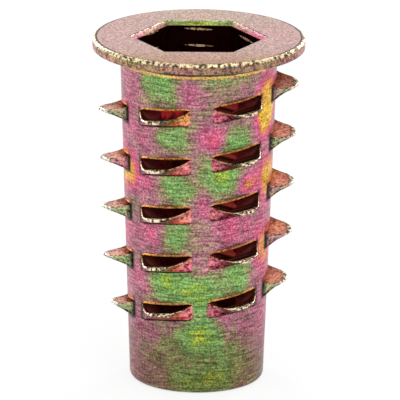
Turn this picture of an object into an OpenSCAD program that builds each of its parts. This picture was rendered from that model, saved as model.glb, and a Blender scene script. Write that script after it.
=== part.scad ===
// Threaded insert for wood: a tapered steel barrel with a flange, a hexagon socket through its length,
// a threaded nose, and barbs lanced out of the wall on a right-hand helix.
// It stands on its nose with the flange up. All sizes are in millimetres.

/* [Flange] */
// Outer diameter of the flange
flange_d = 15.5; // [14:0.1:18]
// Thickness of the flange
flange_t = 0.8; // [0.6:0.05:1.5]
// Rounding of the flange's upper rim, left by the blanking punch
rim_round = 0.25; // [0.05:0.05:0.5]
// Fillet between the barrel and the flange
flange_fillet = 0.2; // [0.1:0.05:0.6]

/* [Barrel] */
// Length of the barrel below the flange
barrel_length = 25; // [18:0.5:40]
// Outer diameter of the barrel at the flange
barrel_top_d = 11.5; // [10.8:0.1:13]
// Outer diameter of the barrel at the nose, before its edge is rounded
barrel_end_d = 9.8; // [9.6:0.1:11]
// Rounding of the nose's outer edge
nose_round = 0.45; // [0.1:0.05:0.7]
// Least wall that the barrel keeps over the corners of the socket
corner_wall = 0.25; // [0.2:0.05:0.4]

/* [Socket and thread] */
// Size of the hexagon socket across its flats
hex_af = 8; // [7.4:0.1:8.3]
// Width of the chamfer round the socket's mouth
mouth_chamfer = 0.3; // [0.1:0.05:0.5]
// Diameter of the tapped hole in the nose, at the crests of the thread
thread_d = 6.8; // [5:0.1:7.2]
// Length of the nose below the socket
nose_length = 3.8; // [3:0.1:6]
// Width of the chamfer at the lower mouth of the thread
thread_chamfer = 0.35; // [0.1:0.05:0.6]

/* [Barbs] */
// Rise of the barbs' helix in one turn
helix_pitch = 3.71; // [3:0.01:5]
// Drop from the flange to the middle of the first slit
first_slit = 1.65; // [1.2:0.05:4]
// Turn of the barbs past the corners of the socket
barb_turn = 2.5; // [-5:0.5:5]
// Least height of plain wall between the last barb and the socket's floor
last_land = 0.4; // [0.2:0.1:2]
// Length of a slit along the helix
slit_length = 4; // [3:0.1:4.4]
// Height of a barb where it leaves the wall
barb_height = 1.1; // [0.9:0.05:1.6]
// Reach of a full barb's tip beyond the wall
barb_reach = 1.7; // [1.2:0.05:2.2]
// Drop of a full barb's tip below its slit
tip_drop = 0.37; // [0.2:0.01:0.5]
// Sag of a full barb's lip below a straight line from the slit to the tip
lip_sag = 0.14; // [0.04:0.02:0.2]
// Share of a barb's reach at which its lip sags most
sag_place = 0.4; // [0.3:0.05:0.6]
// Width of a barb where its side faces meet the rounded tip
tip_width = 2.4; // [1.6:0.1:2.8]
// Height of a barb's tip
tip_height = 0.2; // [0.1:0.05:0.3]
// Depth of the tip's rounding in plan
tip_round = 0.5; // [0.3:0.05:0.6]
// Thickness of metal under a barb's hollow, at the wall
barb_floor = 0.35; // [0.2:0.05:0.5]
// Thickness of metal under the front of a barb's hollow
tip_floor = 0.2; // [0.15:0.05:0.3]
// Thickness of metal at the front of a barb's hollow, along its reach
barb_front = 0.36; // [0.3:0.02:0.6]
// Thickness of metal at the sides of a barb's lip
barb_lip = 0.12; // [0.1:0.02:0.3]
// Thickness of metal at each end of a slit
barb_side = 0.15; // [0.1:0.05:0.3]
// Length of a slit's opening into the socket
bore_slit_length = 2.4; // [1.6:0.1:3]
// Lean of the hollow's side walls from upright, in degrees
hollow_lean = 20; // [0:5:30]
// Barbs at the nose end that shorten to lead the insert in
lead_in_barbs = 6; // [1:1:12]
// Reach of the last barb as a share of a full one
lead_in_share = 0.68; // [0.4:0.02:1]

/* [Hidden] */
$fn = 96;
// Overlap that lets a cut run clear of the face that it starts from
clear = 1;

// A barb stands on each corner of the socket in every turn
hex_corners = 6;
corner_step = 360 / hex_corners;
hex_corner_r = hex_af / 2 / cos(corner_step / 2);

total_height = barrel_length + flange_t;
flange_r = flange_d / 2;
// A larger socket pushes the barrel's wall out ahead of its corners
end_r = max(barrel_end_d / 2, hex_corner_r + corner_wall);
top_r = max(barrel_top_d / 2, end_r);
taper = (top_r - end_r) / barrel_length;
thread_r = thread_d / 2;
// Slope of the drill point that opens the socket's floor into the tapped hole, from the level
drill_slope = 30;
drill_height = (hex_af / 2 - thread_r) * tan(drill_slope);

// The first barb is behind the insert on the right, and the helix falls clockwise from there
first_angle = corner_step + barb_turn;
barb_step = helix_pitch / hex_corners;
barb_room = barrel_length - first_slit - nose_length - last_land - barb_height;
barb_count = floor(barb_room / barb_step) + 1;

function wall_r(z) = end_r + taper * z;
function slit_z(i) = barrel_length - first_slit - i * barb_step;
function slit_tilt(i) = atan(helix_pitch / (2 * PI * wall_r(slit_z(i))));
// The last few barbs lose reach evenly down to the stated share
function barb_share(i) =
    1 - (1 - lead_in_share) * max(0, i + 1 + lead_in_barbs - barb_count) / lead_in_barbs;

// Outline between the two tangent points of a rounding of radius r at an edge whose upper side leans
// out by the slope s, as the area to cut away from a corner at the origin
module nose_corner(r, s) {
    lean = sqrt(1 + s * s);
    centre_x = s * r - r * lean;
    difference() {
        polygon([
            [centre_x, -clear],
            [clear, -clear],
            [clear, r - r * s / lean],
            [centre_x + r / lean, r - r * s / lean],
            [centre_x, r]
        ]);
        translate([centre_x, r]) circle(r);
    }
}

// Half section of the flanged barrel, still without its bore
module barrel_section() {
    difference() {
        union() {
            polygon([[0, 0], [end_r, 0], [top_r, barrel_length], [0, barrel_length]]);
            translate([0, barrel_length]) square([flange_r, flange_t]);
            translate([top_r - flange_fillet / 2, barrel_length - flange_fillet])
                square([flange_fillet * 1.5, flange_fillet]);
        }
        translate([top_r + flange_fillet, barrel_length - flange_fillet]) circle(flange_fillet);
        translate([end_r, 0]) nose_corner(nose_round, taper);
        translate([flange_r - rim_round, total_height - rim_round]) difference() {
            square(rim_round + clear);
            circle(rim_round);
        }
    }
}

// Hexagonal flare of the socket's mouth: three crossed bars, each as wide as two opposite flats
module mouth_flare() {
    mouth_half = hex_af / 2 + mouth_chamfer;
    flare_z = total_height - mouth_chamfer;
    intersection_for (turn = [0 : corner_step : 180 - corner_step])
        rotate([90, 0, turn])
            translate([0, 0, -flange_r])
                linear_extrude(2 * flange_r)
                    polygon([
                        [-hex_af / 2, flare_z],
                        [hex_af / 2, flare_z],
                        [mouth_half + clear, total_height + clear],
                        [-mouth_half - clear, total_height + clear]
                    ]);
}

// Everything that is bored out along the axis
module socket_and_thread() {
    translate([0, 0, nose_length])
        cylinder(r = hex_corner_r, h = total_height - nose_length + clear, $fn = hex_corners);
    rotate(corner_step / 2) mouth_flare();
    translate([0, 0, nose_length - drill_height])
        cylinder(r1 = thread_r, r2 = hex_af / 2, h = drill_height);
    translate([0, 0, -clear]) cylinder(r = thread_r, h = nose_length + clear);
    translate([0, 0, -clear])
        cylinder(r1 = thread_r + thread_chamfer + clear, r2 = thread_r, h = thread_chamfer + clear);
}

// Puts a shape that is drawn with X out of the wall and Z up on the slit of barb i
module on_slit(i) {
    translate([0, 0, slit_z(i)])
        rotate(first_angle - i * corner_step)
            rotate([slit_tilt(i), 0, 0])
                children();
}

// Bar across a barb with the given side outline, drawn with X out of the wall
module side_bar(outline) {
    rotate([90, 0, 0])
        translate([0, 0, -slit_length])
            linear_extrude(2 * slit_length)
                polygon(outline);
}

// Upright bar through a barb with the plan outline that it is given
module plan_bar() {
    depth = 2 * barb_height + clear;
    translate([0, 0, -depth]) linear_extrude(2 * depth) children();
}

// Area to cut away in plan round a barb's tip, which leaves it rounded to the given depth
module tip_corners(tip, depth) {
    chord = tip_width / 2;
    radius = (chord * chord + depth * depth) / (2 * depth);
    difference() {
        translate([tip - 1.4 * depth, -tip_width]) square([2 * depth + clear, 2 * tip_width]);
        translate([tip - radius, 0]) circle(radius);
    }
}

// Outer form of barb i: a scoop whose faces run from the wall to a rounded tip, under a lip that sags
module barb_outside(i) {
    share = barb_share(i);
    wall = wall_r(slit_z(i) - barb_height);
    half = slit_length / 2 + barb_side;
    base = sqrt(wall * wall - half * half);
    root = base - wall / 10;
    tip = wall + barb_reach * share;
    drop = tip_drop * share;
    depth = tip_round * share;
    sag_x = base + sag_place * (tip - base);
    sag_v = -drop * sag_place - lip_sag * share;
    // The flat faces run on past the tip, and the rounding ends them
    end = tip + tip_height / 2;
    end_half = half - (half - tip_width / 2) * (end - base) / (tip - depth - base);
    end_lip = -drop + (-drop - sag_v) * (end - tip) / (tip - sag_x);
    end_under = -barb_height + (barb_height - drop - tip_height) * (end - base) / (tip - base);
    intersection() {
        plan_bar() difference() {
            polygon([
                [root, -half],
                [base, -half],
                [end, -end_half],
                [end, end_half],
                [base, half],
                [root, half]
            ]);
            tip_corners(tip, depth);
        }
        side_bar([
            [root, 0],
            [base, 0],
            [sag_x, sag_v],
            [end, end_lip],
            [end, end_under],
            [base, -barb_height],
            [root, -barb_height]
        ]);
    }
}

// Hollow of barb i: open above to the slit, and behind to the socket through a narrower mouth
module barb_hollow(i) {
    share = barb_share(i);
    wall = wall_r(slit_z(i) - barb_height);
    half = slit_length / 2;
    base = sqrt(wall * wall - half * half);
    bore_half = bore_slit_length / 2;
    bore = hex_corner_r - bore_half * tan(corner_step / 2) - barb_side / 2;
    inside = bore - bore_half / 2;
    tip = wall + barb_reach * share;
    drop = tip_drop * share;
    front = tip - barb_front * share;
    // The hollow follows the barb's own sides, then closes round its tip
    shoulder = tip - tip_round * share;
    shoulder_half = tip_width / 2 - barb_lip;
    front_half = shoulder_half / 2;
    underside = -barb_height + (barb_height - drop - tip_height) * (shoulder - base) / (tip - base);
    floor_at_base = barb_floor - barb_height;
    floor_at_front = underside + tip_floor;
    floor_slope = (floor_at_front - floor_at_base) / (shoulder - base);
    // Each side wall leans in below the slit, so the two bars cross in a trough
    narrowing = cos(hollow_lean);
    intersection() {
        intersection_for (lean = [-hollow_lean, hollow_lean])
            rotate([lean, 0, 0]) plan_bar() polygon([
                [inside, -bore_half * narrowing],
                [bore, -bore_half * narrowing],
                [base, -half * narrowing],
                [shoulder, -shoulder_half * narrowing],
                [front, -front_half * narrowing],
                [front, front_half * narrowing],
                [shoulder, shoulder_half * narrowing],
                [base, half * narrowing],
                [bore, bore_half * narrowing],
                [inside, bore_half * narrowing]
            ]);
        side_bar([
            [inside, 0],
            [front, 0],
            [front, -drop],
            [shoulder, floor_at_front],
            [inside, floor_at_base + floor_slope * (inside - base)]
        ]);
    }
}

module insert() {
    color("#b08d62")
        difference() {
            union() {
                rotate_extrude() barrel_section();
                for (i = [0 : barb_count - 1]) on_slit(i) barb_outside(i);
            }
            socket_and_thread();
            for (i = [0 : barb_count - 1]) on_slit(i) barb_hollow(i);
        }
}

insert();
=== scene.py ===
import math

import bmesh
import bpy
from mathutils import Matrix, Vector


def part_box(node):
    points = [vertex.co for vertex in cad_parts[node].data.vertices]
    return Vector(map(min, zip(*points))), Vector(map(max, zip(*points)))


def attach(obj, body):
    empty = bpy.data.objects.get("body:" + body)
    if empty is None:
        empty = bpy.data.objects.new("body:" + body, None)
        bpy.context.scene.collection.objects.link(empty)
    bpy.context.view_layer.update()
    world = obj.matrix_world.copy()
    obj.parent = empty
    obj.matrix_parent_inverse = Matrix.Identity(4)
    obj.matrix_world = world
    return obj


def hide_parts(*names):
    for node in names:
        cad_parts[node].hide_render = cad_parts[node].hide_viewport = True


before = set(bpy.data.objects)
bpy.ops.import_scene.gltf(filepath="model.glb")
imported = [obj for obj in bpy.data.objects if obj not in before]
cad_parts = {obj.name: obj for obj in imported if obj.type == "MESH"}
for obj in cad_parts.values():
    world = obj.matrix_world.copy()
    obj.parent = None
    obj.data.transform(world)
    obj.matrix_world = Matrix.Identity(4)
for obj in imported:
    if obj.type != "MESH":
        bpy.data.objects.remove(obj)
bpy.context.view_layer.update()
cad_low, cad_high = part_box("insert")
scene = bpy.context.scene
scene.view_settings.view_transform = "Standard"

# Sizes of the insert in millimetres, as in its solid
MM = 0.001
TOTAL_HEIGHT = (cad_high.z - cad_low.z) / MM
FLANGE_R = (cad_high.x - cad_low.x) / 2 / MM
FLANGE_T = 0.8
RIM_ROUND = 0.25
RIM_BURR = 0.07
FLANGE_FILLET = 0.2
BARREL_LENGTH = TOTAL_HEIGHT - FLANGE_T
TOP_R = 5.75
END_R = 4.9
TAPER = (TOP_R - END_R) / BARREL_LENGTH
NOSE_ROUND = 0.45
NOSE_LENGTH = 3.8
THREAD_R = 3.4
THREAD_PITCH = 1.25
THREAD_FLANK = math.tan(math.radians(30))
TAP_R = 4.15
TAP_TIP = 0.12
TAP_CLEARANCE = 0.03
THREAD_CHAMFER = 0.35
TAP_Z = 25.25
HEX_HALF = 4.0
HEX_STEP = math.radians(60)
HEX_CORNER_R = HEX_HALF / math.cos(HEX_STEP / 2)
MOUTH_CHAMFER = 0.3
EDGE_BREAK = 0.03
EDGE_STEP = 0.02
SHARP_ANGLE = math.radians(32)

# Rings on the flange, as steps in from the rim, and the shadow line on its underside
RIM_STEP = 0.12
FLANGE_STEPS = (0.45, 1.35, 2.25)
SHADOW_STEP = 0.95

# A gold line round the barrel under the flange, and the painted shadow in the corner above it
GOLD_LINE_Z = 24.2
GOLD_LINE_HALF = 0.1
FLANGE_SHADOW_Z = (GOLD_LINE_Z + BARREL_LENGTH) / 2 + 0.06
FLANGE_SHADOW_HALF = 0.34

# The barbs stand on a right-hand helix, one for each corner of the socket
BARB_COUNT = 30
BARBS_PER_TURN = 6
HELIX_PITCH = 3.71
BARB_TURN = math.radians(2.5)
FIRST_TURN = HEX_STEP + BARB_TURN
FIRST_SLIT_Z = BARREL_LENGTH - 1.65
SLIT_HALF = 2.08
SLIT_ROUND = 0.2
BARB_HEIGHT = 1.1
BARB_REACH = 1.7
TIP_DROP = 0.37
LIP_SAG = 0.14
TIP_HEIGHT = 0.2
BORE_SLIT_HALF = 1.2
BORE_FLOOR = 1.0
BORE_FLOOR_HALF = 0.65

# A barb in plan: half widths at shares of the reach up to its shoulders, then a round front that
# runs on by a share of the reach with a given fullness
SHARES = (0.0, 0.035, 0.2, 0.36, 0.53, 0.69)
OUTER_HALVES = (SLIT_HALF, 2.045, 1.85, 1.65, 1.43, 1.2)
OUTER_FRONT = (0.31, 1.5)
INNER_HALVES = (SLIT_HALF, 2.0, 1.76, 1.55, 1.32, 1.08)
INNER_FRONT = (0.13, 2.5)
FLOOR_HALVES = (1.4, 1.36, 1.12, 0.9, 0.7, 0.5)
FLOOR_DROPS = (0.75, 0.52)
UNDER_SHARE = 0.62
LIP_EDGE = 0.05
# Width of the margin beside and below a barb, which carries the painted shade lines of its creases
CREASE = 0.28

# The last barbs before the nose get shorter, and plain cells stand above and below the barbs
LEAD_IN_BARBS = 6
LEAD_IN_SHARE = 0.68
BLANKS_ABOVE = 8
BLANKS_BELOW = 10

# How the wall is joined and cut to length, the rings down the tapped hole and the depth of painted shade
# inside the mouth
MERGE_DISTANCE = 0.002
CUT_SNAP = 0.0001
CUT_REACH = 3.0
TAP_RINGS = 36
SHADED_MOUTH = 3.0

# Marks on the faces that tell the finish how the metal there was made, and where it paints highlights and
# shade
PLAIN = 0.0
PASSAGE = 0.1
PRESSED = 0.25
RIM = 0.35
SCOOP = 0.45
SLIT_EDGE = 0.55
LIP_SIDE = 0.65
TURNED_EDGE = 0.75
TORN_FRONT = 0.9
TORN_LIP = 1.0
MARK_HALF = 0.05


def add(tree, kind, settings=None, sockets=None):
    """Adds a node, then sets its properties and fills or links its inputs."""
    node = tree.nodes.new(kind)
    for name, value in (settings or {}).items():
        setattr(node, name, value)
    for key, value in (sockets or {}).items():
        for source in value if isinstance(value, list) else [value]:
            if isinstance(source, bpy.types.Node):
                source = next(output for output in source.outputs if output.enabled)
            if isinstance(source, bpy.types.NodeSocket):
                tree.links.new(source, node.inputs[key])
            else:
                node.inputs[key].default_value = source
    return node


def linear(code):
    """Turns an sRGB hex colour into linear red, green, blue and alpha."""
    parts = [int(code[i : i + 2], 16) / 255 for i in (1, 3, 5)]
    return (*[c / 12.92 if c <= 0.04045 else ((c + 0.055) / 1.055) ** 2.4 for c in parts], 1.0)


# The wall of one barb, laid out flat: along the slit, up the wall, and out to the tip as a share
SPANS = 14
SIDE_SPANS = len(SHARES) - 1
ROW_TOP = 1.0
ROW_ABOVE = 0.5
MEAN_WALL_R = 5.4
BESIDE_TURN = 0.47
FLAT_MIDDLE = HEX_HALF / 2
BESIDE_FLAT_MIDDLE = HEX_HALF / 2.3


def wall_cell(name, barbed):
    """Makes a sixth of a turn of the wall, outside and bore, with a barb or left plain."""
    rows, faces, sheared = [], [], []

    def point(
        along,
        height,
        out=0.0,
        anchor=None,
        setback=0.0,
        turn=0.0,
        inward=0.0,
        hidden=0.0,
        crease=0.0,
    ):
        """Adds a flat point with what the wrapping, the finish and the painted shade need, and gives its
        number.
        """
        held = along if anchor is None else anchor
        rows.append((along, height, out, held, setback, turn, inward, hidden, crease))
        return len(rows) - 1

    def face(corners, mark=PLAIN):
        """Adds a marked face, without corners that are named twice."""
        kept = [c for i, c in enumerate(corners) if c not in corners[:i]]
        if len(kept) > 2:
            faces.append(kept)
            sheared.append(mark)

    def sheet(lines, mark=PLAIN):
        """Fills the strips between rows of points, from the top row down."""
        for upper, lower in zip(lines, lines[1:]):
            for i in range(len(upper) - 1):
                face([upper[i], lower[i], lower[i + 1], upper[i + 1]], mark)

    across = [2 * j / SPANS - 1 for j in range(SPANS + 1)]

    # Outside of the wall round the barb's root
    turns = [math.asin(SLIT_HALF * u / MEAN_WALL_R) for u in across]
    turns = [-HEX_STEP / 2, -BESIDE_TURN] + turns + [BESIDE_TURN, HEX_STEP / 2]

    def level_row(height):
        """Adds a row right across the cell, at even turns."""
        return [point(0, height, turn=t) for t in turns]

    def slit_row(height, crease=0.0):
        """Adds a row with its points over the slit, and a narrow margin beside it, carrying painted shade
        lines.
        """
        margin = SLIT_HALF + CREASE
        row = [point(0, height, turn=-HEX_STEP / 2), point(-margin, height)]
        for u in across:
            dark = crease if abs(u) < 1 else 0.6 * crease
            row.append(point(SLIT_HALF * u, height, crease=dark))
        return row + [point(margin, height), point(0, height, turn=HEX_STEP / 2)]

    top = level_row(ROW_TOP)
    above = slit_row(ROW_ABOVE)
    slit = slit_row(0.0, 1.0 if barbed else 0.0)
    base = slit_row(-BARB_HEIGHT, 1.0 if barbed else 0.0)
    below = slit_row(-BARB_HEIGHT - CREASE)
    bottom = level_row(ROW_TOP - HELIX_PITCH)
    sheet([top, above])
    sheet([base, below, bottom])
    sheet([slit[:3], base[:3]])
    sheet([slit[-3:], base[-3:]])
    slit_left, slit_right = slit[2], slit[-3]
    roots = base[2:-2]

    # Bore of the socket behind it, a corner of the hexagon in its middle, in painted shade
    shift = HEX_CORNER_R * math.sin(BARB_TURN)

    def bore_row(height, half):
        """Adds a row across the socket's corner, with its points close together over an opening."""
        places = [shift + half * u for u in across]
        places[min(range(len(places)), key=lambda j: abs(places[j]))] = 0.0
        places = [-FLAT_MIDDLE, -BESIDE_FLAT_MIDDLE] + places + [BESIDE_FLAT_MIDDLE, FLAT_MIDDLE]
        return [point(p, height, inward=1.0, hidden=0.5) for p in places]

    bore = [bore_row(h, BORE_SLIT_HALF) for h in (ROW_TOP, ROW_ABOVE, 0.0)]
    bore += [bore_row(-BORE_FLOOR, BORE_FLOOR_HALF)]
    bore += [bore_row(h, BORE_SLIT_HALF) for h in (-BARB_HEIGHT - CREASE, ROW_TOP - HELIX_PITCH)]
    bore = [row[::-1] for row in bore]
    sheet(bore[:3])
    sheet(bore[3:])
    sheet([bore[2][:3], bore[3][:3]])
    sheet([bore[2][-3:], bore[3][-3:]])
    bore_top, bore_floor = bore[2][2:-2][::-1], bore[3][2:-2][::-1]

    if not barbed:
        sheet([above, slit])
        sheet([slit[2:-2], roots])
        sheet([bore_top[::-1], bore_floor[::-1]])
    else:
        # Upper edge of the slit, rounded inwards by the punch
        edge = []
        for up, back in ((1, 0), (0.3, 0.2), (0, 1)):
            height, setback = SLIT_ROUND * up, SLIT_ROUND * back
            inner = [point(SLIT_HALF * u, height, setback=setback) for u in across[1:-1]]
            edge.append([slit_left] + inner + [slit_right])
        sheet([above[:3], slit[:3]])
        sheet([above[-3:], slit[-3:]])
        sheet([above[2:-2], edge[0]])
        # The slit's rounded edge is painted bright orange, partly as a painted highlight
        sheet(edge, SLIT_EDGE)
        sheet([edge[2], bore_top], PASSAGE)

        def plan_path(halves, front, height_at, ends, narrow=0.0, inset=0.0, hidden=0.0):
            """Runs from the slit's left end round the front to its right end, with painted shade at the
            wall.
            """
            bulge, fullness = front
            places = [(share, -half) for share, half in zip(SHARES[:-1], halves)]
            for u in across:
                w = math.sin(u * math.pi / 2)
                share = SHARES[-1] + bulge * (1 - abs(w) ** fullness) ** (1 / fullness)
                places.append((share, halves[-1] * w))
            places += [(share, half) for share, half in zip(SHARES[-2::-1], halves[-2::-1])]
            path = []
            for share, along in places:
                along *= 1 - narrow * min(1.0, share * 2.5) - inset * share
                out = share * (1 - inset / 2)
                dark = 0.5 if share < 0.1 else 2.5 * hidden
                path.append(point(along, height_at(share), out, SLIT_HALF, hidden=hidden, crease=dark))
            path[0], path[-1] = ends
            return path

        def lip_height(share):
            """Height of the lip, which sags on its way down to the tip."""
            s = share**0.8
            return -TIP_DROP * share - LIP_SAG * 4 * s * (1 - s)

        def edge_height(share):
            """Height of the broken edge just below the lip."""
            return lip_height(share) - LIP_EDGE * min(1.0, 6 * share)

        def under_height(share):
            """Height of the underside, which rises straight to the tip."""
            return -BARB_HEIGHT + (BARB_HEIGHT - TIP_DROP - TIP_HEIGHT) * share

        # Lip and outside of the scoop, from the wall to a round nose
        corners = (slit_left, slit_right)
        root_ends = (roots[0], roots[-1])
        lip = plan_path(OUTER_HALVES, OUTER_FRONT, lip_height, corners, inset=LIP_EDGE)
        edge_path = plan_path(OUTER_HALVES, OUTER_FRONT, edge_height, corners)
        under = plan_path(OUTER_HALVES, OUTER_FRONT, under_height, root_ends, narrow=1 - UNDER_SHARE)
        inner = plan_path(INNER_HALVES, INNER_FRONT, lip_height, corners, hidden=0.1)
        nose = slice(SIDE_SPANS, SIDE_SPANS + SPANS + 1)
        left, right = slice(None, SIDE_SPANS + 1), slice(-SIDE_SPANS - 1, None)
        for part, lip_mark, face_mark in (
            (left, LIP_SIDE, PRESSED),
            (nose, TORN_LIP, TORN_FRONT),
            (right, LIP_SIDE, PRESSED),
        ):
            sheet([inner[part], lip[part], edge_path[part]], lip_mark)
            sheet([edge_path[part], under[part]], face_mark)
        front = under[nose]
        lower = [roots]
        for s in range(1, SIDE_SPANS):
            row = [under[s]]
            for j in range(1, SPANS):
                _, _, out, *_ = rows[front[j]]
                share = out * SHARES[s] / SHARES[-1]
                along = rows[under[-1 - s]][0] * math.sin(across[j] * math.pi / 2)
                row.append(point(along, under_height(share), share, SLIT_HALF * across[j]))
            lower.append(row + [under[-1 - s]])
        sheet(lower + [front], PRESSED)

        # Hollow inside the lip, which opens behind into the socket, with painted shade deepening towards the
        # wall
        floors = []
        deep, shallow = FLOOR_DROPS
        for share, half in zip(SHARES[::-1], FLOOR_HALVES[::-1]):
            height = -deep + (deep - shallow) * share / SHARES[-1]
            dark = min(1.0, max(0.0, 1.1 - 3.2 * share))
            row = [point(half * u, height, share, SLIT_HALF, hidden=dark) for u in across]
            floors.append(row)
        sheet(floors[:-1], SCOOP)
        sheet(floors[-2:] + [bore_floor], PASSAGE)
        foot = [row[0] for row in floors[::-1]] + floors[0][1:-1] + [row[-1] for row in floors]
        sheet([foot, inner], SCOOP)
        face([slit_left, floors[-1][0], bore_floor[0], bore_top[0]], PASSAGE)
        face([slit_right, bore_top[-1], bore_floor[-1], floors[-1][-1]], PASSAGE)

    mesh = bpy.data.meshes.new(name)
    mesh.from_pydata([row[:3] for row in rows], [], faces)
    for k, label in enumerate(("anchor", "setback", "turn", "inward", "hidden", "crease"), 3):
        mesh.attributes.new(label, "FLOAT", "POINT").data.foreach_set("value", [row[k] for row in rows])
    mesh.attributes.new("sheared", "FLOAT", "FACE").data.foreach_set("value", sheared)
    cell = bpy.data.objects.new(name, mesh)
    scene.collection.objects.link(cell)
    return cell


def new_tree(name, inputs):
    """Starts a geometry tree with named inputs, and gives it, their sockets and their identifiers."""
    tree = bpy.data.node_groups.new(name, "GeometryNodeTree")
    tree.interface.new_socket("Geometry", in_out="OUTPUT", socket_type="NodeSocketGeometry")
    identifiers = {}
    for label, value in inputs.items():
        kind = "Float"
        if isinstance(value, int):
            kind = "Int"
        elif isinstance(value, bpy.types.Object):
            kind = "Object"
        elif isinstance(value, bpy.types.Material):
            kind = "Material"
        socket = tree.interface.new_socket(label, in_out="INPUT", socket_type="NodeSocket" + kind)
        identifiers[label] = socket.identifier
    return tree, add(tree, "NodeGroupInput").outputs, identifiers


def grow(name, tree, identifiers, inputs):
    """Runs a geometry tree on an empty mesh and gives the result as a plain mesh."""
    host = bpy.data.objects.new(name, bpy.data.meshes.new(name))
    scene.collection.objects.link(host)
    modifier = host.modifiers.new(name, "NODES")
    modifier.node_group = tree
    for label, value in inputs.items():
        modifier[identifiers[label]] = value
    graph = bpy.context.evaluated_depsgraph_get()
    mesh = bpy.data.meshes.new_from_object(host.evaluated_get(graph))
    bpy.data.objects.remove(host)
    return mesh


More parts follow.
